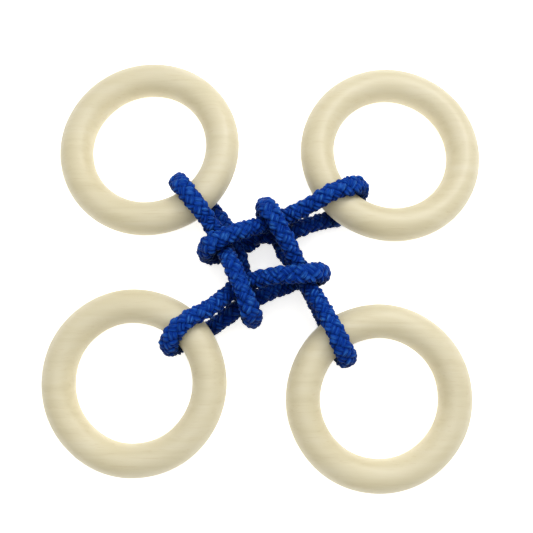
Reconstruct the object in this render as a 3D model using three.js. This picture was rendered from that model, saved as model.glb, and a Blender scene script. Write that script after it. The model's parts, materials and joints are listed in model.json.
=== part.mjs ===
// A disentanglement puzzle: four wooden rings, each held by its own endless loop of
// braided cord.  The loops are looped over one another in a square weave, so that each
// loop is gripped by the loop before it and grips the loop after it.
// Millimetres, +Z up.  The origin is the middle of the puzzle, on the table it lies on.

import * as THREE from 'three';

// ---- Driving dimensions ------------------------------------------------------------

const RING_OUTER_DIAMETER = 55;
const RING_INNER_DIAMETER = 35;
const CORD_DIAMETER = 5;
const GAP = 0.4;                     // clear space between a cord and its ring
const JOIN_GAP = 0.5;                // clear space between a cord's end and its join
const WEAVE_GAP = 0.6;               // clear space between crossing cords
const SLACK = 2;                     // how far a loop can be pushed in to loosen the weave
const JOIN_LENGTH = 2;               // the melted bead that closes a loop
const JOIN_NECK_RADIUS = 1.3;
const JOIN_SETBACK = 3;              // from the middle of the band, towards the weave

// ---- Fineness of the faceted solids ------------------------------------------------

const RING_STEPS = 44;               // round the ring
const BAND_SIDES = 12;               // round the ring's section
const CORD_SIDES = 10;
const CORD_STEPS = 64;
const RAMP_POINTS = 3;               // route points on a slope between two layers
const WRAP_STEP_DEG = 30;            // route points where a cord goes round something

// ---- Sizes that follow from them ---------------------------------------------------

const BAND_RADIUS = (RING_OUTER_DIAMETER - RING_INNER_DIAMETER) / 4;
const RING_RADIUS = RING_INNER_DIAMETER / 2 + BAND_RADIUS;
const CORD_RADIUS = CORD_DIAMETER / 2;
const LAYER = CORD_DIAMETER + WEAVE_GAP;
const BAND_WRAP_RADIUS = BAND_RADIUS + GAP + CORD_RADIUS;

// The weave is four cords deep; these are the heights of the layers, lowest first.
const LAYER_HEIGHTS = [0, 1, 2, 3].map((layer) => CORD_RADIUS + layer * LAYER);
const [BOTTOM, LOWER, UPPER, TOP] = LAYER_HEIGHTS;

// A ring lies on its far edge, and its near edge lies on the cord that goes under it.
const RING_LEAN = Math.asin((CORD_DIAMETER + GAP) / (2 * RING_RADIUS));
const RING_HEIGHT = BAND_RADIUS + RING_RADIUS * Math.sin(RING_LEAN);

// ---- The layout, seen from above ---------------------------------------------------

// Each ring's centre, and the direction in which it faces the weave.  Its cord goes over
// the band, through the ring and under the band at three angles round from there.  The
// bows are how far the cord's four stretches bend to the left, looking away from the
// ring: above from ring to weave, above across it, below across it, and below to the ring.
const RINGS = [
  {
    place: 'top_left', centre: [-35.2, 37.8], facing: -49,
    over: -3, through: -1.5, under: 5, bows: [0.2, -0.2, 0.9, 1.3],
  },
  {
    place: 'bottom_left', centre: [-38.4, -33.3], facing: 40.5,
    over: 8, through: 4.5, under: -2, bows: [-0.7, 1, 0.1, -0.5],
  },
  {
    place: 'bottom_right', centre: [33.6, -37.8], facing: 126.5,
    over: -0.5, through: 4, under: 0, bows: [-0.3, -0.2, 0, -0.4],
  },
  {
    place: 'top_right', centre: [38.4, 36], facing: 226,
    over: -8, through: 3, under: 8, bows: [0.6, -0.1, -2.2, -0.6],
  },
];

// Where the upper cords cross, and where the lower cords cross, at each corner of the
// weave.  The loop from ring i is gripped at corner i, and grips the next loop at the
// corner after it.
const CORNERS = [
  { upper: [-12.4, 7.9], lower: [-8.9, 7.2] },
  { upper: [-7.1, -5.1], lower: [-5.7, -9.8] },
  { upper: [11.4, -2.7], lower: [11, -1.8] },
  { upper: [2.8, 13.8], lower: [4.2, 10.2] },
];

// ---- Small helpers -----------------------------------------------------------------

const radians = THREE.MathUtils.degToRad;

function plan([x, y]) {
  return new THREE.Vector2(x, y);
}

function at(point, height) {
  return new THREE.Vector3(point.x, point.y, height);
}

function directionAt(degrees) {
  return new THREE.Vector2(Math.cos(radians(degrees)), Math.sin(radians(degrees)));
}

function regularPolygon(radius, sides) {
  const corners = [];
  for (let side = 0; side < sides; side += 1) {
    corners.push(directionAt((360 * side) / sides).multiplyScalar(radius));
  }
  return corners;
}

// The middle of the ring's band, a given angle round from the point that faces the weave.
function bandMiddle(ring, turnDegrees) {
  const direction = directionAt(ring.facing + turnDegrees);
  const rise = RING_RADIUS * Math.sin(RING_LEAN) * Math.cos(radians(turnDegrees));
  const reach = RING_RADIUS * Math.cos(RING_LEAN);
  return at(plan(ring.centre).addScaledVector(direction, reach), RING_HEIGHT + rise);
}

// ---- The route of a cord loop ------------------------------------------------------

// How far round the ring the cord is, at a share of its way from under to over the band.
function turnAt(ring, share) {
  const early = (1 - share) * (1 - 2 * share);
  const middle = 4 * share * (1 - share);
  const late = share * (2 * share - 1);
  return early * ring.under + middle * ring.through + late * ring.over;
}

// Round the band, from under it, through the ring, to over it.
function roundTheBand(ring) {
  const points = [];
  for (let angle = -90; angle <= 90; angle += WRAP_STEP_DEG) {
    const turn = turnAt(ring, (angle + 90) / 180);
    const middle = bandMiddle(ring, turn);
    const out = directionAt(ring.facing + turn).multiplyScalar(-BAND_WRAP_RADIUS * Math.cos(radians(angle)));
    const height = middle.z + BAND_WRAP_RADIUS * Math.sin(radians(angle));
    points.push(at(plan([middle.x, middle.y]).add(out), height));
  }
  return points;
}

// A smooth slope between two level stretches of cord, bowed to the left by a little.
function ramp(from, to, fromHeight, toHeight, bow) {
  const left = new THREE.Vector2(from.y - to.y, to.x - from.x).normalize();
  const points = [];
  for (let step = 1; step <= RAMP_POINTS; step += 1) {
    const share = step / (RAMP_POINTS + 1);
    const ease = (1 - Math.cos(Math.PI * share)) / 2;
    const height = THREE.MathUtils.lerp(fromHeight, toHeight, ease);
    const place = from.clone().lerp(to, share);
    place.addScaledVector(left, bow * Math.sin(Math.PI * share));
    points.push(at(place, height));
  }
  return points;
}

// Round both cords of the next loop, from over them to under them.
function roundTheNextLoop(corner, direction) {
  const upper = plan(corner.upper);
  const lower = plan(corner.lower);
  const lowerLead = lower.clone().sub(upper).dot(direction);
  upper.addScaledVector(direction, Math.max(0, lowerLead));
  lower.addScaledVector(direction, Math.max(0, -lowerLead));
  const points = [];
  for (let angle = 90; angle >= 0; angle -= WRAP_STEP_DEG) {
    const side = upper.clone().lerp(lower, (90 - angle) / 180);
    side.addScaledVector(direction, LAYER * Math.cos(radians(angle)));
    points.push(at(side, UPPER + LAYER * Math.sin(radians(angle))));
  }
  for (let angle = 0; angle >= -90; angle -= WRAP_STEP_DEG) {
    const side = upper.clone().lerp(lower, (90 - angle) / 180);
    side.addScaledVector(direction, LAYER * Math.cos(radians(angle)));
    points.push(at(side, LOWER + LAYER * Math.sin(radians(angle))));
  }
  return points;
}

// The whole loop, from the join under the band and back to it.
function loopRoute(ring, grippedAt, gripsAt) {
  const firstUpper = plan(grippedAt.upper);
  const secondUpper = plan(gripsAt.upper);
  const firstLower = plan(grippedAt.lower);
  const secondLower = plan(gripsAt.lower);
  const along = secondUpper.clone().sub(firstUpper).normalize();
  const alongLower = secondLower.clone().sub(firstLower).normalize();
  const band = roundTheBand(ring);
  const overBand = plan([band.at(-1).x, band.at(-1).y]);
  const underBand = plan([band[0].x, band[0].y]);
  const inward = firstUpper.clone().sub(overBand).normalize();
  const inwardLower = firstLower.clone().sub(underBand).normalize();

  const [bowIn, bowAcross, bowAcrossLower, bowInLower] = ring.bows;
  const beforeFirst = firstUpper.clone().addScaledVector(inward, -SLACK);
  const beforeSecond = secondUpper.clone().addScaledVector(along, -SLACK);
  const beforeSecondLower = secondLower.clone().addScaledVector(alongLower, -SLACK);
  const beforeFirstLower = firstLower.clone().addScaledVector(inwardLower, -SLACK);

  return [
    ...band,
    ...ramp(overBand, beforeFirst, band.at(-1).z, UPPER, bowIn),
    at(beforeFirst, UPPER),
    at(firstUpper, UPPER),
    ...ramp(firstUpper, beforeSecond, UPPER, TOP, bowAcross),
    at(beforeSecond, TOP),
    ...roundTheNextLoop(gripsAt, along),
    at(beforeSecondLower, BOTTOM),
    ...ramp(firstLower, beforeSecondLower, LOWER, BOTTOM, bowAcrossLower).reverse(),
    at(firstLower, LOWER),
    at(beforeFirstLower, LOWER),
    ...ramp(underBand, beforeFirstLower, band[0].z, LOWER, bowInLower).reverse(),
  ];
}

// ---- Materials ---------------------------------------------------------------------

function woodMaterial() {
  return new THREE.MeshStandardMaterial({ color: 0xdbd0b2, roughness: 0.55, metalness: 0 });
}

function cordMaterial() {
  return new THREE.MeshStandardMaterial({ color: 0x123a80, roughness: 0.7, metalness: 0 });
}

function meltedMaterial() {
  return new THREE.MeshStandardMaterial({ color: 0x0c2450, roughness: 0.35, metalness: 0 });
}

// ---- Pieces ------------------------------------------------------------------------

// A turned ring with a round section.
function makeRing(ring) {
  const profile = regularPolygon(BAND_RADIUS, BAND_SIDES).map(
    (corner) => new THREE.Vector2(RING_RADIUS + corner.x, corner.y),
  );
  profile.push(profile[0].clone());
  const geometry = new THREE.LatheGeometry(profile, RING_STEPS);
  geometry.rotateX(Math.PI / 2);
  const mesh = new THREE.Mesh(geometry, woodMaterial());
  mesh.name = `ring_${ring.place}`;
  const facing = directionAt(ring.facing);
  const leanAxis = new THREE.Vector3(facing.y, -facing.x, 0);
  mesh.quaternion.setFromAxisAngle(leanAxis, RING_LEAN);
  mesh.position.copy(at(plan(ring.centre), RING_HEIGHT));
  return mesh;
}

function closedCurve(route) {
  const curve = new THREE.CatmullRomCurve3(route, true, 'catmullrom', 0.5);
  curve.arcLengthDivisions = 1000;
  return curve;
}

// How far round the closed curve a place is, measured on from the middle of the join.
function shareFromJoin(curve, distance) {
  return THREE.MathUtils.euclideanModulo((distance - JOIN_SETBACK) / curve.getLength(), 1);
}

// A point on the cord, which never sinks into the table.
function cordPoint(curve, distance) {
  const point = curve.getPointAt(shareFromJoin(curve, distance));
  point.z = Math.max(point.z, CORD_RADIUS);
  return point;
}

// The cord itself: a tube along the route, open where the join closes it.
function makeCordLoop(ring, curve) {
  const start = JOIN_LENGTH / 2 + JOIN_GAP;
  const end = curve.getLength() - start;
  const stations = [];
  for (let step = 0; step <= CORD_STEPS; step += 1) {
    const distance = THREE.MathUtils.lerp(start, end, step / CORD_STEPS);
    stations.push(cordPoint(curve, distance));
  }
  const openRoute = new THREE.CatmullRomCurve3(stations, false, 'catmullrom', 0.5);
  const section = new THREE.Shape(regularPolygon(CORD_RADIUS, CORD_SIDES));
  const geometry = new THREE.ExtrudeGeometry(section, { steps: CORD_STEPS, extrudePath: openRoute });
  const mesh = new THREE.Mesh(geometry, cordMaterial());
  mesh.name = `cord_loop_${ring.place}`;
  return mesh;
}

// The bead where the two cut ends of the cord are melted together.
function makeFusedJoin(ring, curve) {
  const half = JOIN_LENGTH / 2;
  const neck = JOIN_NECK_RADIUS;
  const belly = CORD_RADIUS;
  const profile = [[0, -half], [neck, -half], [belly, 0], [neck, half], [0, half]].map(plan);
  const geometry = new THREE.LatheGeometry(profile, CORD_SIDES);
  const mesh = new THREE.Mesh(geometry, meltedMaterial());
  mesh.name = `fused_join_${ring.place}`;
  const latheAxis = new THREE.Vector3(0, 1, 0);
  mesh.quaternion.setFromUnitVectors(latheAxis, curve.getTangentAt(shareFromJoin(curve, 0)));
  mesh.position.copy(cordPoint(curve, 0));
  return mesh;
}

// ---- Assembly ----------------------------------------------------------------------

const puzzle = new THREE.Group();
RINGS.forEach((ring, index) => {
  const gripsAt = CORNERS[(index + 1) % CORNERS.length];
  const curve = closedCurve(loopRoute(ring, CORNERS[index], gripsAt));
  puzzle.add(makeRing(ring), makeCordLoop(ring, curve), makeFusedJoin(ring, curve));
});

export default puzzle;
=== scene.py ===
"""Looks of a disentanglement puzzle: four turned wooden rings on four loops of braided cord.

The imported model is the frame.  Each cord loop becomes a round braid of eight strands that
follows the loop's own route, each melted join a smooth bead, and each ring a fine turned
ring with wood grain.  Where a cord meets its ring or another cord, its yarn is pressed
flat, so that nothing cuts through anything at any joint's limit.

All lengths are in metres, and colours are linear red, green and blue.
"""

import json
import math

import bpy
import numpy as np
from mathutils import Matrix, Vector
from mathutils.kdtree import KDTree


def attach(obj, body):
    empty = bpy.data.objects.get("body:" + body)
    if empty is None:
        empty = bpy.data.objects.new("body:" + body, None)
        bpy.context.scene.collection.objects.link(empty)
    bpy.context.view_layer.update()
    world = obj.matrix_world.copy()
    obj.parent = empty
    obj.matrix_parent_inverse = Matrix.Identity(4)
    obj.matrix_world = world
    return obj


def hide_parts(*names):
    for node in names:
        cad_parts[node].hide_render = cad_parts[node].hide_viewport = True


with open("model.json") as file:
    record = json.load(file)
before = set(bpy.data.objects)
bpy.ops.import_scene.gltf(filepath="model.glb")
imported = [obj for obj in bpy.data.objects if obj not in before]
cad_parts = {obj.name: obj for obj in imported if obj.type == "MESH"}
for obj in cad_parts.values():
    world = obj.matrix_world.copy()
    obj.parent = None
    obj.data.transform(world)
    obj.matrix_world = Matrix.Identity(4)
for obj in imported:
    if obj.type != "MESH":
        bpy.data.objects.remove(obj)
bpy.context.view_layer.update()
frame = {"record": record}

# The hinge that each ring lifts on and the slide that takes up a loop's slack, by their place.
JOINTS = {joint["name"]: joint for joint in frame["record"]["behaviour"]["joints"]}
LIFT_JOINTS = {
    name.removeprefix("lift_"): joint
    for name, joint in JOINTS.items() if name.startswith("lift_")
}
SLACK_JOINTS = {
    name.removeprefix("slack_"): joint
    for name, joint in JOINTS.items() if name.startswith("slack_")
}

# ---- Driving dimensions, the same as in the CAD model --------------------------------

RING_OUTER_DIAMETER = 0.055
RING_INNER_DIAMETER = 0.035
CORD_DIAMETER = 0.005
GAP = 0.0004                 # clear space between a cord and its ring
WEAVE_GAP = 0.0006           # clear space between crossing cords
JOIN_GAP = 0.0005            # clear space between a cord's end and the middle of its join
JOIN_LENGTH = 0.002
JOIN_SETBACK = 0.003         # from the middle of the band, towards the weave
SLACK = 0.002                # level cord kept before each crossing
RAMP_POINTS = 3              # route points on a slope between two layers
WRAP_STEP_DEG = 30           # route points where a cord goes round something

BAND_RADIUS = (RING_OUTER_DIAMETER - RING_INNER_DIAMETER) / 4
RING_RADIUS = RING_INNER_DIAMETER / 2 + BAND_RADIUS
CORD_RADIUS = CORD_DIAMETER / 2
LAYER = CORD_DIAMETER + WEAVE_GAP
BAND_WRAP_RADIUS = BAND_RADIUS + GAP + CORD_RADIUS
BOTTOM, LOWER, UPPER, TOP = (CORD_RADIUS + layer * LAYER for layer in range(4))
RING_LEAN = math.asin((CORD_DIAMETER + GAP) / (2 * RING_RADIUS))
RING_HEIGHT = BAND_RADIUS + RING_RADIUS * math.sin(RING_LEAN)

# Each ring's centre, and the direction in which it faces the weave.  Its cord goes over
# the band, through the ring and under the band at three angles round from there.  The
# bows are how far the cord's four stretches bend to the left, looking away from the
# ring: above from ring to weave, above across it, below across it, and below to the ring.
RINGS = [
    dict(place="top_left", centre=(-0.0352, 0.0378), facing=-49,
         over=-3, through=-1.5, under=5, bows=(0.0002, -0.0002, 0.0009, 0.0013)),
    dict(place="bottom_left", centre=(-0.0384, -0.0333), facing=40.5,
         over=8, through=4.5, under=-2, bows=(-0.0007, 0.001, 0.0001, -0.0005)),
    dict(place="bottom_right", centre=(0.0336, -0.0378), facing=126.5,
         over=-0.5, through=4, under=0, bows=(-0.0003, -0.0002, 0, -0.0004)),
    dict(place="top_right", centre=(0.0384, 0.036), facing=226,
         over=-8, through=3, under=8, bows=(0.0006, -0.0001, -0.0022, -0.0006)),
]

# Where the upper cords cross, and where the lower cords cross, at each corner of the
# weave.  The loop from ring i is gripped at corner i, and grips the next loop at the
# corner after it.
CORNERS = [
    dict(upper=(-0.0124, 0.0079), lower=(-0.0089, 0.0072)),
    dict(upper=(-0.0071, -0.0051), lower=(-0.0057, -0.0098)),
    dict(upper=(0.0114, -0.0027), lower=(0.011, -0.0018)),
    dict(upper=(0.0028, 0.0138), lower=(0.0042, 0.0102)),
]

# ---- The braid ------------------------------------------------------------------------

BRAID_LAY = 0.0128           # length in which a strand goes once round the cord
STRANDS_EACH_WAY = 4
STRAND_WIDTH = 0.00244
STRAND_OUTER = 0.00066       # from a strand's middle to its outer face
STRAND_INNER = 0.00030       # and to its inner face
STRAND_PINCH = 0.14          # how much narrower a strand is where it dips under
STRAND_PRESS = 0.35          # how much thinner it is there
STRAND_SQUARENESS = 2.4      # of its outer face: 2 would make its section an ellipse
STRAND_INNER_POINTS = (0.7, 0, -0.7)  # mesh points across its inner face
YARNS_PER_STRAND = 2
YARN_STEPS = 6               # mesh steps across one yarn
YARN_GROOVE = 0.62           # depth of the groove between yarns, as a share of thickness
YARN_SECOND = 0.72           # height of the strand's second yarn, as a share of the first's
YARN_ROUNDNESS = 0.85        # a lower number makes a yarn flatter on top
BRAID_MIDDLE = 0.00185       # radius halfway between a strand's high and low places
BRAID_WAVE = 0.00028         # how far a strand rises over and dips under the others
BRAID_RADIUS = BRAID_MIDDLE + BRAID_WAVE + STRAND_OUTER
BRAID_WANDER = 0.055         # how unevenly a strand lies, in radians round the cord
BRAID_UNEVEN = 0.00009       # how unevenly it lies in and out
# Waves of that unevenness: radians a metre, and their shift for each strand and hand.
WANDER_WAVES = [(420, 2.1, 1), (173, 4.3, 0)]
UNEVEN_WAVES = [(1130, 1.7, -1), (2270, 2.9, 0)]
FIBRE_SHIFT = 0.01           # between strands, so that no two have the same fibres
CORE_RADIUS = 0.00178        # the inside, which fills the gaps between strands; its near-black colour is painted shade
DEEPEST_SHADE_RADIUS = 0.00145      # yarn this deep in the braid gets the darkest painted shade
STATION_STEP = 0.00031       # along the cord, between rows of the mesh
CORE_SIDES = 16
PAINTED_SHADOW_REACH = 0.012         # painted shadow: the yarn is painted darker where something lies this close above it
PAINTED_SHADOW_LIGHT = {"X": 0, "Y": 0.36, "Z": 0.93}  # where the painted shadow's light comes from: up, and a little to the rear
CURVE_STEPS = 60             # points between two points of a route
LINE_STEP = 0.0002           # along the cord, between points of its centreline
LINE_MARGIN = 0.006          # how far the centreline runs on past each end
LINE_SMOOTHING = 0.0009      # evens out the bends where arcs and slopes meet
SQUEEZE_RADIUS = 0.0072      # at a bend this tight, the cord is fully squeezed
SQUEEZE_WIDER = 0.15         # how much wider the cord is there, as a share of its width
SQUEEZE_THINNER = 0.09
SQUEEZE_SQUARER = 0.05       # how far its section's corners stand out there
SQUEEZE_HUG = 0.0003         # how far it presses in towards what it goes round
PATH_STEP = 0.0013           # between the points that tell a cord's route
PRESS_GAP = 0.0001           # left where a cord lies flat against wood or another cord
PRESS_REACH = 0.004          # yarn nearer than this to another cord's middle may touch it
LIFT_STEP_DEG = 15           # between the ring positions that a cord is pressed clear of
TABLE_HEIGHT = 0

# ---- Wood and join --------------------------------------------------------------------

RING_STEPS = 240             # round the ring
BAND_SIDES = 72              # round the ring's section
TURNING_WOBBLE = 0.00004     # a hand-turned band isn't perfectly even
WOBBLE_WAVES = [(3, 1), (7, 2)]  # waves round the ring, and their shift from ring to ring
BEAD_LENGTH = 0.0044
BEAD_RADIUS = 0.00262
BEAD_END_RADIUS = 0.0019
BEAD_END_SQUARENESS = 9      # a high number rounds only the rim of the bead's ends
BEAD_END_FACE = 0.25         # radius of the flat end face, as a share of the end's
# Lumps of the bead: height as a share, waves round it, twist along it, shift between beads.
BEAD_LUMPS = [(0.03, 2, 3, 1), (0.02, 5, -4, 2)]
BEAD_STEPS = 24
BEAD_SIDES = 32

# ---- Colours, as a rule with their places in a colour ramp ----------------------------

WHITE = (1, 1, 1)
WOOD_GRAIN = [
    (0.28, (0.765, 0.682, 0.450)), (0.50, (0.815, 0.734, 0.502)), (0.74, (0.840, 0.764, 0.548)),
]
WOOD_PORES = [(0.30, (0.90, 0.86, 0.78)), (0.42, WHITE)]
WOOD_PORE_STRENGTH = 0.5
WOOD_PATCHES = [(0.35, (0.97, 0.96, 0.92)), (0.65, WHITE)]
YARN_FIBRES = [
    (0.28, (0.006, 0.055, 0.38)), (0.52, (0.022, 0.115, 0.50)), (0.75, (0.100, 0.360, 0.72)),
]
YARN_PATCHES = [(0.36, (0.50, 0.56, 0.68)), (0.62, WHITE)]
# Painted shade: the yarn is darker the deeper it lies in the braid, so its crests stand out as
# painted highlights.
YARN_DEPTH_SHADE = [
    (0.30, (0.10, 0.23, 0.42)), (0.55, (0.24, 0.38, 0.66)), (0.80, (0.38, 0.54, 0.82)),
    (0.97, WHITE),
]
# Painted shadow: darkens the yarn's colour where something above it blocks the light.
YARN_PAINTED_SHADOW = [(0.15, (0.02, 0.05, 0.08)), (0.42, (0.26, 0.33, 0.48)), (0.72, WHITE)]
YARN_SHEEN = (0.10, 0.42, 1.0)
CORD_GLOSS = (0.12, 0.45, 1.0)
CORE_FLUFF_SHADE = [(0.35, (0.001, 0.008, 0.045)), (0.65, (0.002, 0.016, 0.08))]
MELTED_FLOW = [(0.35, (0.002, 0.014, 0.090)), (0.70, (0.005, 0.036, 0.200))]
PAPER = (0.9, 0.9, 0.9)

# ---- Camera, light and stage ----------------------------------------------------------

CAMERA_TARGET = Vector((0.0006, 0.0012, 0.008))
CAMERA_DISTANCE = 0.2663
CAMERA_ELEVATION = math.radians(81)
CAMERA_LENS_MM = 60.2
CAMERA_NEAREST = 0.01
CAMERA_FARTHEST = 10
OVERHEAD = dict(place=Vector((0, 0.1, 0.8)), size=1.0, power=3.2)
KEY = dict(place=Vector((0.34, 0.46, 0.58)), size=0.36, power=2.1)
SKY_STRENGTH = 0.33
FLOOR_RADIUS = 1.2
FLOOR_DROP = 0.0001          # keeps the floor's face clear of the rings' lowest points
FLOOR_GLOW = 0.65            # light that the floor gives off, so that shadows stay pale
SWEEP_RADIUS = 0.4           # of the backdrop's curve from floor to wall
SWEEP_STEP_DEG = 15
WALL_HEIGHT = 1.4
STAGE_STEPS = 64             # round the floor and the backdrop

# ---- Fixed by Blender and by arithmetic -----------------------------------------------

MIX_FACTOR, MIX_FIRST, MIX_SECOND, MIX_RESULT = 0, 6, 7, 2  # sockets of a colour Mix node
TINY = 1e-6                  # keeps a division clear of zero


# ======================================================================================
# Camera
# ======================================================================================

def make_camera():
    """Looks down on the puzzle, from a little towards the lower rings."""
    data = bpy.data.cameras.new("camera")
    data.lens = CAMERA_LENS_MM
    data.clip_start = CAMERA_NEAREST
    data.clip_end = CAMERA_FARTHEST
    camera = bpy.data.objects.new("camera", data)
    bpy.context.scene.collection.objects.link(camera)
    back = Vector((0, -math.cos(CAMERA_ELEVATION), math.sin(CAMERA_ELEVATION)))
    camera.location = CAMERA_TARGET + back * CAMERA_DISTANCE
    camera.rotation_euler = (-back).to_track_quat("-Z", "Y").to_euler()
    bpy.context.scene.camera = camera


# ======================================================================================
# The route of a cord loop
# ======================================================================================

def direction_at(degrees):
    """A level direction, at an angle round from the x axis."""
    angle = math.radians(degrees)
    return np.array((math.cos(angle), math.sin(angle)))


def degrees_through(first, last, step):
    """Whole degrees from the first to the last, both included."""
    return range(first, last + 1, step)


def at(place, height):
    """The point at a height over a place on the table."""
    return np.array((place[0], place[1], height))


def unit(vector):
    return vector / np.linalg.norm(vector)


def band_middle(ring, turn):
    """The middle of the ring's band, an angle round from where it faces the weave."""
    reach = RING_RADIUS * math.cos(RING_LEAN)
    rise = RING_RADIUS * math.sin(RING_LEAN) * math.cos(math.radians(turn))
    place = np.array(ring["centre"]) + direction_at(ring["facing"] + turn) * reach
    return at(place, RING_HEIGHT + rise)


def turn_at(ring, share):
    """How far round the ring the cord is, at a share of its way from under to over."""
    early = (1 - share) * (1 - 2 * share)
    middle = 4 * share * (1 - share)
    late = share * (2 * share - 1)
    return early * ring["under"] + middle * ring["through"] + late * ring["over"]


def round_the_band(ring):
    """Round the band, from under it, through the ring, to over it."""
    points = []
    for angle in degrees_through(-90, 90, WRAP_STEP_DEG):
        turn = turn_at(ring, (angle + 90) / 180)
        middle = band_middle(ring, turn)
        bend = math.radians(angle)
        out = direction_at(ring["facing"] + turn) * -BAND_WRAP_RADIUS * math.cos(bend)
        points.append(at(middle[:2] + out, middle[2] + BAND_WRAP_RADIUS * math.sin(bend)))
    return points


def ramp(start, end, start_height, end_height, bow):
    """A smooth slope between two level stretches of cord, bowed to the left by a little."""
    left = unit(np.array((start[1] - end[1], end[0] - start[0])))
    points = []
    for step in range(1, RAMP_POINTS + 1):
        share = step / (RAMP_POINTS + 1)
        ease = (1 - math.cos(math.pi * share)) / 2
        place = start + (end - start) * share + left * bow * math.sin(math.pi * share)
        points.append(at(place, start_height + (end_height - start_height) * ease))
    return points


def round_the_next_loop(corner, direction):
    """Round both cords of the next loop, from over them to under them."""
    upper = np.array(corner["upper"])
    lower = np.array(corner["lower"])
    lower_lead = (lower - upper) @ direction
    upper = upper + direction * max(0, lower_lead)
    lower = lower + direction * max(0, -lower_lead)
    quarter = degrees_through(0, 90, WRAP_STEP_DEG)
    turns = [(90 - step, UPPER) for step in quarter] + [(-step, LOWER) for step in quarter]
    points = []
    for angle, level in turns:
        bend = math.radians(angle)
        side = upper + (lower - upper) * (90 - angle) / 180
        place = side + direction * LAYER * math.cos(bend)
        points.append(at(place, level + LAYER * math.sin(bend)))
    return points


def loop_route(ring, gripped_at, grips_at):
    """The whole loop, from the join under the band and back to it."""
    first_upper = np.array(gripped_at["upper"])
    second_upper = np.array(grips_at["upper"])
    first_lower = np.array(gripped_at["lower"])
    second_lower = np.array(grips_at["lower"])
    band = round_the_band(ring)
    over_band = band[-1][:2]
    under_band = band[0][:2]
    along = unit(second_upper - first_upper)
    along_lower = unit(second_lower - first_lower)
    before_first = first_upper - unit(first_upper - over_band) * SLACK
    before_second = second_upper - along * SLACK
    before_second_lower = second_lower - along_lower * SLACK
    before_first_lower = first_lower - unit(first_lower - under_band) * SLACK
    bow_in, bow_across, bow_across_lower, bow_in_lower = ring["bows"]
    across_lower = ramp(first_lower, before_second_lower, LOWER, BOTTOM, bow_across_lower)
    in_lower = ramp(under_band, before_first_lower, band[0][2], LOWER, bow_in_lower)
    return [
        *band,
        *ramp(over_band, before_first, band[-1][2], UPPER, bow_in),
        at(before_first, UPPER),
        at(first_upper, UPPER),
        *ramp(first_upper, before_second, UPPER, TOP, bow_across),
        at(before_second, TOP),
        *round_the_next_loop(grips_at, along),
        at(before_second_lower, BOTTOM),
        *reversed(across_lower),
        at(first_lower, LOWER),
        at(before_first_lower, LOWER),
        *reversed(in_lower),
    ]


def closed_curve(route):
    """Points close together on the smooth closed curve through the route's points.

    Between two points it is a cubic, with the slope that their neighbours give.
    """
    knots = np.array(route)
    before = np.roll(knots, 1, axis=0)
    after = np.roll(knots, -1, axis=0)
    leaving = (after - before) / 2
    arriving = np.roll(leaving, -1, axis=0)
    t = np.linspace(0, 1, CURVE_STEPS, endpoint=False)[None, :, None]
    start, end = knots[:, None, :], after[:, None, :]
    points = (
        (2 * t**3 - 3 * t**2 + 1) * start
        + (t**3 - 2 * t**2 + t) * leaving[:, None, :]
        + (3 * t**2 - 2 * t**3) * end
        + (t**3 - t**2) * arriving[:, None, :]
    )
    return points.reshape(-1, 3)


def smooth(values, sigma):
    """Evens out rows of values with a bell-shaped window, keeping both ends in place.

    Sigma is the bell's usual measure of width, in rows; past three of it nothing is left.
    """
    reach = int(3 * sigma) + 1
    window = np.exp(-0.5 * (np.arange(-reach, reach + 1) / sigma) ** 2)
    window /= window.sum()
    padded = np.concatenate((
        2 * values[0] - values[reach:0:-1], values, 2 * values[-1] - values[-2:-reach - 2:-1],
    ))
    columns = [np.convolve(column, window, mode="valid") for column in padded.T]
    return np.array(columns).T


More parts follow.
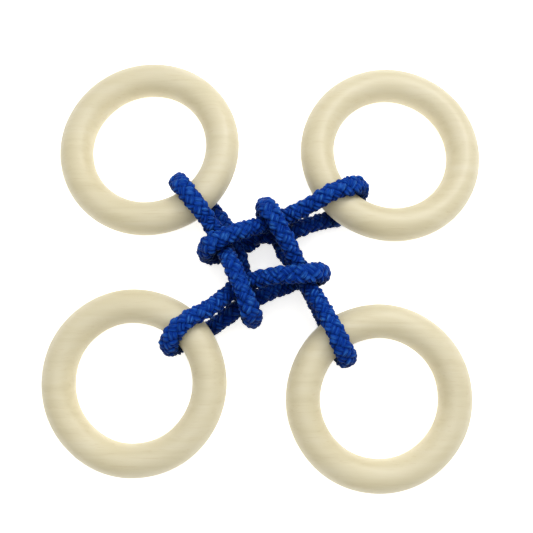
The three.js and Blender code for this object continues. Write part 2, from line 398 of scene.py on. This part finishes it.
class CordLine:
    """A cord's centreline, with a frame that doesn't twist and the bend at each place.

    Places are lengths along the cord, from the middle of its join.  The tree finds the
    centreline's nearest point.
    """

    def __init__(self, route):
        loop = closed_curve(route)
        loop = np.concatenate((loop, loop[:1]))
        steps = np.linalg.norm(np.diff(loop, axis=0), axis=1)
        lengths = np.concatenate(([0], np.cumsum(steps)))
        self.length = lengths[-1]
        count = int((self.length + 2 * LINE_MARGIN) / LINE_STEP) + 1
        self.places = np.linspace(-LINE_MARGIN, self.length + LINE_MARGIN, count)
        wrapped = (self.places - JOIN_SETBACK) % self.length
        points = np.array([np.interp(wrapped, lengths, axis) for axis in loop.T]).T
        points = smooth(points, LINE_SMOOTHING / LINE_STEP)
        points[:, 2] = np.maximum(points[:, 2], BRAID_RADIUS)
        self.points = points
        tangents = np.gradient(points, self.places, axis=0)
        self.tangents = tangents / np.linalg.norm(tangents, axis=1)[:, None]
        bends = np.gradient(self.tangents, self.places, axis=0)
        self.bends = smooth(bends, LINE_SMOOTHING / LINE_STEP)
        self.sides = self.untwisted_sides()
        self.ups = np.cross(self.tangents, self.sides)
        self.tree = KDTree(count)
        for index, point in enumerate(points):
            self.tree.insert(point, index)
        self.tree.balance()

    def ends(self):
        """Where the open cord starts and ends, on either side of its join."""
        start = JOIN_LENGTH / 2 + JOIN_GAP
        return start, self.length - start

    def untwisted_sides(self):
        """A direction across the cord at each point, carried along without twisting."""
        side = unit(np.cross(self.tangents[0], (0, 0, 1)))
        sides = []
        for tangent in self.tangents:
            side = unit(side - tangent * (side @ tangent))
            sides.append(side)
        return np.array(sides)

    def read(self, table, places):
        """What a table of the centreline's points says at any places along it."""
        return np.stack([np.interp(places, self.places, axis) for axis in table.T], axis=-1)

    def surface(self, places, angles, radii):
        """Points at a place along the cord, an angle round it and a distance out.

        Where the cord bends tightly it is squeezed flatter, wider and squarer, and hugs
        what it goes round.
        """
        tangent = self.read(self.tangents, places)
        side = self.read(self.sides, places)
        up = self.read(self.ups, places)
        bend = self.read(self.bends, places)
        out = radii[..., None] * (np.cos(angles)[..., None] * side + np.sin(angles)[..., None] * up)
        amount = np.linalg.norm(bend, axis=-1, keepdims=True)
        inward = bend / np.maximum(amount, TINY)
        across = np.cross(tangent, inward)
        squeeze = np.minimum(1, amount * SQUEEZE_RADIUS) ** 2
        sideways = np.sum(out * across, axis=-1, keepdims=True)
        inwards = np.sum(out * inward, axis=-1, keepdims=True)
        corner = 4 * (sideways * inwards) ** 2 / np.maximum(radii[..., None], TINY) ** 4
        change = SQUEEZE_WIDER * sideways * across - SQUEEZE_THINNER * inwards * inward
        change = change + SQUEEZE_SQUARER * corner * out + SQUEEZE_HUG * inward
        return self.read(self.points, places) + out + squeeze * change


# ======================================================================================
# Meshes
# ======================================================================================

def grid_faces(rows, columns, first):
    """Quads between rows of points that each close on themselves, and both end caps."""
    faces = []
    for row in range(rows - 1):
        here = first + row * columns
        for column in range(columns):
            beside = (column + 1) % columns
            faces.append((here + column, here + beside,
                          here + columns + beside, here + columns + column))
    faces.append(tuple(range(first + columns - 1, first - 1, -1)))
    last = first + (rows - 1) * columns
    faces.append(tuple(range(last, last + columns)))
    return faces


def make_object(name, points, faces):
    """A smooth-shaded object."""
    mesh = bpy.data.meshes.new(name)
    mesh.from_pydata([tuple(point) for point in points], [], faces)
    mesh.update()
    mesh.polygons.foreach_set("use_smooth", [True] * len(mesh.polygons))
    thing = bpy.data.objects.new(name, mesh)
    bpy.context.scene.collection.objects.link(thing)
    return thing


def strand_section():
    """The outline of a strand: across from -1 to 1, and out from -1 to 1.

    Its outer face shows the yarns that lie side by side in it, the first the higher.
    """
    outer_steps = YARN_STEPS * YARNS_PER_STRAND
    across = []
    out = []
    for step in range(outer_steps + 1):
        place = 2 * step / outer_steps - 1
        yarn = abs(math.sin(YARNS_PER_STRAND * math.pi * (place + 1) / 2)) ** YARN_ROUNDNESS
        dome = math.sqrt(max(0, 1 - abs(place) ** STRAND_SQUARENESS))
        fullness = 1 if place < 0 else YARN_SECOND
        across.append(place)
        out.append(dome * fullness * (1 - YARN_GROOVE * (1 - yarn)))
    for place in STRAND_INNER_POINTS:
        across.append(place)
        out.append(-math.sqrt(1 - place**2))
    return np.array(across), np.array(out)


def waver(waves, places, hand, number):
    """How far a strand strays at each place: a sum of waves, different for each strand."""
    return sum(
        np.sin(places * rate + number_shift * number + hand_shift * hand)
        for rate, number_shift, hand_shift in waves
    )


def strand_points(line, places, hand, number):
    """One strand of the braid: its points, and for each the numbers that colour it.

    These are its place across and along the strand, a number that differs from strand
    to strand, and how high it stands in the braid, from 0 to 1, which sets its painted shade.
    """
    across, out = strand_section()
    winding = hand * 2 * math.pi / BRAID_LAY
    start = number * 2 * math.pi / STRANDS_EACH_WAY
    wander = waver(WANDER_WAVES, places, hand, number)
    angles = winding * places + start + BRAID_WANDER * wander
    # The strand is raised from -1 to 1, and stays longest near both of them.
    wave = hand * np.cos(STRANDS_EACH_WAY * 2 * math.pi * places / BRAID_LAY)
    raised = wave * (3 - wave**2) / 2
    lowered = (1 - raised) / 2
    heave = waver(UNEVEN_WAVES, places, hand, number)
    middles = BRAID_MIDDLE + BRAID_WAVE * raised + BRAID_UNEVEN * heave
    slope = math.atan(winding * (BRAID_MIDDLE + BRAID_WAVE))
    sideways = across[None, :] * (1 - STRAND_PINCH * lowered)[:, None] * STRAND_WIDTH / 2
    spots = np.clip(places[:, None] - sideways * math.sin(slope), places[0], places[-1])
    turned = angles[:, None] + sideways * math.cos(slope) / middles[:, None]
    heights = np.where(out > 0, out * STRAND_OUTER, out * STRAND_INNER)[None, :]
    radii = middles[:, None] + heights * (1 - STRAND_PRESS * lowered)[:, None]
    points = line.surface(spots, turned, radii)
    run = places[:, None] / math.cos(slope)
    seed = FIBRE_SHIFT * (number + 2 * hand)
    fibres = np.stack(np.broadcast_arrays(sideways, run, seed), axis=-1)
    height = (radii - DEEPEST_SHADE_RADIUS) / (BRAID_RADIUS - DEEPEST_SHADE_RADIUS)
    return points.reshape(-1, 3), fibres.reshape(-1, 3), height.ravel(), len(across)


def ring_lean(ring):
    """The turn that leans a ring, raising the side that faces the weave."""
    facing = direction_at(ring["facing"])
    return Matrix.Rotation(RING_LEAN, 3, Vector((facing[1], -facing[0], 0)))


def press_against_ring(points, ring):
    """Flattens a cord where its ring's band would cut it, however far the ring is lifted.

    A point inside the band moves straight away from the middle of the band.
    """
    hinge = LIFT_JOINTS[ring["place"]]
    pivot = Vector(hinge["pos_m"])
    lean = ring_lean(ring)
    reach = BAND_RADIUS + PRESS_GAP
    for lift in degrees_through(0, int(hinge["range_deg"][1]), LIFT_STEP_DEG):
        turn = Matrix.Rotation(math.radians(lift), 3, Vector(hinge["axis"]))
        centre = np.array(pivot + turn @ (Vector(at(ring["centre"], RING_HEIGHT)) - pivot))
        normal = np.array(turn @ lean @ Vector((0, 0, 1)))
        offsets = points - centre
        flat = offsets - (offsets @ normal)[:, None] * normal
        middles = centre + flat * (RING_RADIUS / np.linalg.norm(flat, axis=1))[:, None]
        away = points - middles
        distances = np.linalg.norm(away, axis=1)
        inside = distances < reach
        pushed = away[inside] * (reach / distances[inside])[:, None]
        points[inside] = middles[inside] + pushed


def slid_places(place):
    """Where a loop can be: as it lies, and slid until its slack is taken up."""
    if place not in SLACK_JOINTS:
        return [Vector((0, 0, 0))]
    slide = SLACK_JOINTS[place]
    return [Vector(slide["axis"]) * slid for slid in slide["range_m"]]


def press_against_cord(points, line, other, shift):
    """Flattens a cord where another meets it, halfway between their centrelines.

    The shift is how far the other cord has slid past this one.
    """
    lowest = other.points.min(axis=0) + np.array(shift) - PRESS_REACH
    highest = other.points.max(axis=0) + np.array(shift) + PRESS_REACH
    near = np.all((points > lowest) & (points < highest), axis=1)
    for index in np.flatnonzero(near):
        point = Vector(points[index])
        met, _, distance = other.tree.find(point - shift)
        if distance > PRESS_REACH:
            continue
        _, _, own_distance = line.tree.find(point)
        excess = own_distance - distance + PRESS_GAP
        if excess > 0:
            points[index] = point + (point - shift - met) * (excess / 2 / distance)


def make_braid(name, line, ring, neighbours):
    """The cord: eight interlaced strands round a core, coloured dark as painted shade."""
    start, end = line.ends()
    places = np.linspace(start, end, int((end - start) / STATION_STEP))
    points = []
    fibres = []
    heights = []
    faces = []
    count = 0
    for hand in (1, -1):
        for number in range(STRANDS_EACH_WAY):
            strand, fibre, height, columns = strand_points(line, places, hand, number)
            faces += grid_faces(len(places), columns, count)
            points.append(strand)
            fibres.append(fibre)
            heights.append(height)
            count += len(strand)
    core_start = len(faces)
    angles = np.linspace(0, 2 * math.pi, CORE_SIDES, endpoint=False)
    core = line.surface(*np.broadcast_arrays(
        places[:, None], angles[None, :], np.array([[CORE_RADIUS]]),
    )).reshape(-1, 3)
    faces += grid_faces(len(places), CORE_SIDES, count)
    points.append(core)
    fibres.append(np.zeros_like(core))
    heights.append(np.zeros(len(core)))
    points = np.concatenate(points)
    for other_ring, other in neighbours:
        for own_slide in slid_places(ring["place"]):
            for other_slide in slid_places(other_ring["place"]):
                press_against_cord(points, line, other, other_slide - own_slide)
    press_against_ring(points, ring)
    points[:, 2] = np.maximum(points[:, 2], TABLE_HEIGHT)
    braid = make_object(name, points, faces)
    attributes = braid.data.attributes
    attributes.new("fibres", "FLOAT_VECTOR", "POINT")
    attributes["fibres"].data.foreach_set("vector", np.concatenate(fibres).ravel())
    attributes.new("height", "FLOAT", "POINT")
    attributes["height"].data.foreach_set("value", np.concatenate(heights))
    slots = [0] * core_start + [1] * (len(faces) - core_start)
    braid.data.polygons.foreach_set("material_index", slots)
    return braid


def make_bead(name, line, ring, number):
    """The melted lump that closes a loop and swallows both cut ends of the braid."""
    shares = np.linspace(-1, 1, BEAD_STEPS)
    places = shares * BEAD_LENGTH / 2
    angles = np.linspace(0, 2 * math.pi, BEAD_SIDES, endpoint=False)
    belly = np.sqrt(1 - shares**2)
    radii = BEAD_END_RADIUS + (BEAD_RADIUS - BEAD_END_RADIUS) * belly
    rim = np.sqrt(np.maximum(0, 1 - np.abs(shares) ** BEAD_END_SQUARENESS))
    radii *= np.minimum(1, rim + BEAD_END_FACE)
    lumps = 1
    for height, waves, twist, shift in BEAD_LUMPS:
        phase = waves * angles[None, :] + twist * shares[:, None] + shift * number
        lumps = lumps + height * np.sin(phase)
    points = line.surface(*np.broadcast_arrays(
        places[:, None], angles[None, :], radii[:, None] * lumps,
    )).reshape(-1, 3)
    press_against_ring(points, ring)
    return make_object(name, points, grid_faces(BEAD_STEPS, BEAD_SIDES, 0))


def make_ring(name, ring, number):
    """A turned ring, round in section, leaning on the cord that goes under its band."""
    points = []
    faces = []
    for step in range(RING_STEPS):
        turn = 2 * math.pi * step / RING_STEPS
        wobble = TURNING_WOBBLE * sum(
            math.sin(waves * turn + shift * number) for waves, shift in WOBBLE_WAVES
        )
        for side in range(BAND_SIDES):
            round_band = 2 * math.pi * side / BAND_SIDES
            band = BAND_RADIUS + wobble * math.sin(round_band + number)
            out = RING_RADIUS + band * math.cos(round_band)
            points.append((out * math.cos(turn), out * math.sin(turn), band * math.sin(round_band)))
            next_row = (step + 1) % RING_STEPS * BAND_SIDES
            next_side = (side + 1) % BAND_SIDES
            row = step * BAND_SIDES
            faces.append((row + side, next_row + side, next_row + next_side, row + next_side))
    thing = make_object(name, points, faces)
    centre = Vector(at(ring["centre"], RING_HEIGHT))
    thing.matrix_world = Matrix.Translation(centre) @ ring_lean(ring).to_4x4()
    return thing


# ======================================================================================
# Materials
# ======================================================================================

def new_material(name):
    """An empty material, its node tree and its shader."""
    material = bpy.data.materials.new(name)
    material.use_nodes = True
    return material, material.node_tree, material.node_tree.nodes["Principled BSDF"]


def add_node(tree, kind, inputs=None, **settings):
    """Adds a node, sets its settings, and sets or links its inputs by name or number."""
    node = tree.nodes.new(kind)
    for setting, value in settings.items():
        setattr(node, setting, value)
    for key, value in (inputs or {}).items():
        if isinstance(value, bpy.types.NodeSocket):
            tree.links.new(value, node.inputs[key])
        else:
            node.inputs[key].default_value = value
    return node


def opaque(colour):
    return (*colour, 1)


def add_ramp(tree, factor, stops):
    """A colour ramp through (position, colour) stops."""
    node = add_node(tree, "ShaderNodeValToRGB", {"Fac": factor})
    elements = node.color_ramp.elements
    while len(elements) < len(stops):
        elements.new(stops[-1][0])
    for element, (position, colour) in zip(elements, stops):
        element.position = position
        element.color = opaque(colour)
    return node.outputs["Color"]


def multiply(tree, first, second, factor=1.0):
    """One colour darkened by another."""
    node = add_node(tree, "ShaderNodeMix", {
        MIX_FACTOR: factor, MIX_FIRST: first, MIX_SECOND: second,
    }, data_type="RGBA", blend_type="MULTIPLY")
    return node.outputs[MIX_RESULT]


def vary_roughness(tree, shader, pattern, at_lowest, at_highest):
    """Makes the surface's roughness follow a pattern."""
    rough = add_node(tree, "ShaderNodeMapRange", {
        "Value": pattern, "To Min": at_lowest, "To Max": at_highest,
    })
    tree.links.new(rough.outputs["Result"], shader.inputs["Roughness"])


def add_bump(tree, shader, pattern, strength, distance):
    """Makes a pattern stand out of the surface a little."""
    bump = add_node(tree, "ShaderNodeBump", {
        "Height": pattern, "Strength": strength, "Distance": distance,
    })
    tree.links.new(bump.outputs["Normal"], shader.inputs["Normal"])


def wood_material(place, number):
    """Pale, close-grained wood, sanded smooth and lightly waxed.

    The ring's number shifts and turns the grain, so that no two rings are cut alike.
    """
    material, tree, shader = new_material("wood_" + place)
    shader.inputs["Specular IOR Level"].default_value = 0.5
    shader.inputs["Coat Weight"].default_value = 0.3
    shader.inputs["Coat Roughness"].default_value = 0.35
    where = add_node(tree, "ShaderNodeTexCoord")
    grain_space = add_node(tree, "ShaderNodeMapping", {
        "Vector": where.outputs["Object"],
        "Location": (0.11 * number, 0.07 * number, 0.05 * number),
        "Rotation": (0.06, 0.04, 0.7 * number),
        "Scale": (0.05, 1, 0.6),
    })
    bands = add_node(tree, "ShaderNodeTexNoise", {
        "Vector": grain_space.outputs["Vector"], "Scale": 420, "Detail": 4, "Distortion": 0.4,
    })
    lines = add_node(tree, "ShaderNodeTexNoise", {
        "Vector": grain_space.outputs["Vector"], "Scale": 2400, "Detail": 3,
    })
    clouds = add_node(tree, "ShaderNodeTexNoise", {
        "Vector": where.outputs["Object"], "Scale": 38 + 5 * number, "Detail": 2,
    })
    base = add_ramp(tree, bands.outputs["Fac"], WOOD_GRAIN)
    pores = add_ramp(tree, lines.outputs["Fac"], WOOD_PORES)
    patches = add_ramp(tree, clouds.outputs["Fac"], WOOD_PATCHES)
    grained = multiply(tree, base, pores, factor=WOOD_PORE_STRENGTH)
    coloured = multiply(tree, grained, patches)
    tree.links.new(coloured, shader.inputs["Base Color"])
    vary_roughness(tree, shader, lines.outputs["Fac"], at_lowest=0.54, at_highest=0.42)
    add_bump(tree, shader, lines.outputs["Fac"], strength=0.25, distance=0.00005)
    return material


def cord_material():
    """Royal-blue spun yarn, with fine fibres that run along each strand.

    Its colour holds painted shade, darker the deeper the yarn lies in the braid and between yarns,
    so that the crests stand out as painted highlights, and a painted shadow where something lies
    over it.
    """
    material, tree, shader = new_material("cord_yarn")
    shader.inputs["Sheen Weight"].default_value = 0.18
    shader.inputs["Sheen Roughness"].default_value = 0.4
    shader.inputs["Sheen Tint"].default_value = opaque(YARN_SHEEN)
    shader.inputs["Specular IOR Level"].default_value = 0.04
    shader.inputs["Specular Tint"].default_value = opaque(CORD_GLOSS)
    fibres = add_node(tree, "ShaderNodeAttribute", attribute_name="fibres")
    height = add_node(tree, "ShaderNodeAttribute", attribute_name="height")
    stretched = add_node(tree, "ShaderNodeMapping", {
        "Vector": fibres.outputs["Vector"], "Scale": (1, 0.07, 1),
    })
    fine = add_node(tree, "ShaderNodeTexNoise", {
        "Vector": stretched.outputs["Vector"], "Scale": 7000, "Detail": 3,
    })
    strokes = add_node(tree, "ShaderNodeMapping", {
        "Vector": fibres.outputs["Vector"], "Scale": (1, 0.45, 1),
    })
    coarse = add_node(tree, "ShaderNodeTexNoise", {
        "Vector": strokes.outputs["Vector"], "Scale": 1100, "Detail": 2,
    })
    # Painted shadow from above: occlusion towards the light darkens the yarn's colour.
    shadow_light = add_node(tree, "ShaderNodeCombineXYZ", PAINTED_SHADOW_LIGHT)
    painted_shadow = add_node(tree, "ShaderNodeAmbientOcclusion", {
        "Distance": PAINTED_SHADOW_REACH, "Normal": shadow_light.outputs["Vector"],
    })
    colour = add_ramp(tree, fine.outputs["Fac"], YARN_FIBRES)
    # Painted shade deep in the braid and painted shadow under other cord darken the yarn's colour.
    for factor, stops in (
        (coarse.outputs["Fac"], YARN_PATCHES),
        (height.outputs["Fac"], YARN_DEPTH_SHADE),
        (painted_shadow.outputs["AO"], YARN_PAINTED_SHADOW),
    ):
        colour = multiply(tree, colour, add_ramp(tree, factor, stops))
    tree.links.new(colour, shader.inputs["Base Color"])
    vary_roughness(tree, shader, fine.outputs["Fac"], at_lowest=0.60, at_highest=0.38)
    add_bump(tree, shader, fine.outputs["Fac"], strength=0.7, distance=0.00012)
    return material


def core_material():
    """The inside of the cord, seen only in the gaps between strands; its near-black colour is
    painted shade.
    """
    material, tree, shader = new_material("cord_core")
    where = add_node(tree, "ShaderNodeTexCoord")
    fluff = add_node(tree, "ShaderNodeTexNoise", {
        "Vector": where.outputs["Object"], "Scale": 3000, "Detail": 2,
    })
    # Painted shade: the core is coloured near black, so that the gaps between strands look shaded.
    colour = add_ramp(tree, fluff.outputs["Fac"], CORE_FLUFF_SHADE)
    tree.links.new(colour, shader.inputs["Base Color"])
    shader.inputs["Roughness"].default_value = 0.9
    shader.inputs["Specular IOR Level"].default_value = 0
    return material


def melted_material():
    """Cord that has melted and set: darker, smooth and a little glossy."""
    material, tree, shader = new_material("melted_cord")
    shader.inputs["Specular IOR Level"].default_value = 0.25
    shader.inputs["Specular Tint"].default_value = opaque(CORD_GLOSS)
    where = add_node(tree, "ShaderNodeTexCoord")
    flow = add_node(tree, "ShaderNodeTexNoise", {
        "Vector": where.outputs["Object"], "Scale": 900, "Detail": 3, "Distortion": 0.8,
    })
    colour = add_ramp(tree, flow.outputs["Fac"], MELTED_FLOW)
    tree.links.new(colour, shader.inputs["Base Color"])
    vary_roughness(tree, shader, flow.outputs["Fac"], at_lowest=0.22, at_highest=0.42)
    add_bump(tree, shader, flow.outputs["Fac"], strength=0.5, distance=0.0002)
    return material


# ======================================================================================
# Pieces
# ======================================================================================

def loop_line(number):
    """The centreline of one loop, gripped at its own corner and gripping at the next."""
    grips_at = CORNERS[(number + 1) % len(CORNERS)]
    return CordLine(loop_route(RINGS[number], CORNERS[number], grips_at))


def add_cord_loop(number, ring, lines, yarn, core, melted):
    """The braid and the join of one loop, put on the loop's body in place of its plain parts."""
    place = ring["place"]
    line = lines[number]
    either_side = (number - 1) % len(RINGS), (number + 1) % len(RINGS)
    neighbours = [(RINGS[other], lines[other]) for other in either_side]
    braid = make_braid("braided_cord_" + place, line, ring, neighbours)
    braid.data.materials.append(yarn)
    braid.data.materials.append(core)
    bead = make_bead("melted_join_" + place, line, ring, number)
    bead.data.materials.append(melted)
    body = "loop_" + place
    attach(braid, body)
    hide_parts("cord_loop_" + place)
    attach(bead, body)
    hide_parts("fused_join_" + place)
    start, end = line.ends()
    path = line.read(line.points, np.linspace(start, end, int((end - start) / PATH_STEP)))


def add_ring(number, ring):
    """One wooden ring, put on the ring's body in place of its plain part."""
    place = ring["place"]
    wood = make_ring("wooden_ring_" + place, ring, number)
    wood.data.materials.append(wood_material(place, number))
    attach(wood, "ring_" + place)
    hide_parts("ring_" + place)


# ======================================================================================
# Stage
# ======================================================================================

def white_material():
    """White paper, bright enough that shadows on it stay pale."""
    material, _, shader = new_material("white_paper")
    shader.inputs["Base Color"].default_value = opaque(PAPER)
    shader.inputs["Roughness"].default_value = 0.9
    shader.inputs["Specular IOR Level"].default_value = 0.1
    shader.inputs["Emission Color"].default_value = opaque(WHITE)
    shader.inputs["Emission Strength"].default_value = FLOOR_GLOW
    return material


def make_round_sheet(name, profile):
    """A sheet turned about the vertical axis, through (radius, height) points."""
    points = []
    faces = []
    for row, (radius, height) in enumerate(profile):
        for step in range(STAGE_STEPS):
            out = direction_at(360 * step / STAGE_STEPS) * radius
            points.append((out[0], out[1], height))
            if row:
                here = row * STAGE_STEPS
                beside = (step + 1) % STAGE_STEPS
                faces.append((here - STAGE_STEPS + step, here - STAGE_STEPS + beside,
                              here + beside, here + step))
    return make_object(name, points, faces)


def add_stage():
    """A white floor, and a white backdrop that curves up from it all round."""
    white = white_material()
    floor = make_round_sheet("floor", [(0, -FLOOR_DROP), (FLOOR_RADIUS, -FLOOR_DROP)])
    sweep = []
    for angle in degrees_through(0, 90, SWEEP_STEP_DEG):
        bend = math.radians(angle)
        sweep.append((FLOOR_RADIUS + SWEEP_RADIUS * math.sin(bend),
                      SWEEP_RADIUS * (1 - math.cos(bend)) - FLOOR_DROP))
    sweep.append((FLOOR_RADIUS + SWEEP_RADIUS, WALL_HEIGHT))
    backdrop = make_round_sheet("backdrop", sweep)
    backdrop.visible_diffuse = False
    backdrop.visible_glossy = False
    backdrop.visible_shadow = False
    for sheet in (floor, backdrop):
        sheet.data.materials.append(white)


def add_light(name, place, size, power):
    """A round, soft lamp that points at the middle of the puzzle."""
    data = bpy.data.lights.new(name, "AREA")
    data.shape = "DISK"
    data.size = size
    data.energy = power
    lamp = bpy.data.objects.new(name, data)
    bpy.context.scene.collection.objects.link(lamp)
    lamp.location = place
    lamp.rotation_euler = (-place).to_track_quat("-Z", "Y").to_euler()


def add_sky():
    """Even, white light from all round."""
    world = bpy.data.worlds.new("studio")
    world.use_nodes = True
    sky = world.node_tree.nodes["Background"]
    sky.inputs["Color"].default_value = opaque(WHITE)
    sky.inputs["Strength"].default_value = SKY_STRENGTH
    bpy.context.scene.world = world


# ======================================================================================
# The scene
# ======================================================================================

bpy.context.scene.view_settings.view_transform = "Standard"
make_camera()
yarn = cord_material()
core = core_material()
melted = melted_material()
lines = [loop_line(number) for number in range(len(RINGS))]
for number, ring in enumerate(RINGS):
    add_cord_loop(number, ring, lines, yarn, core, melted)
for number, ring in enumerate(RINGS):
    add_ring(number, ring)
add_stage()
add_light("overhead_light", **OVERHEAD)
add_light("key_light", **KEY)
add_sky()
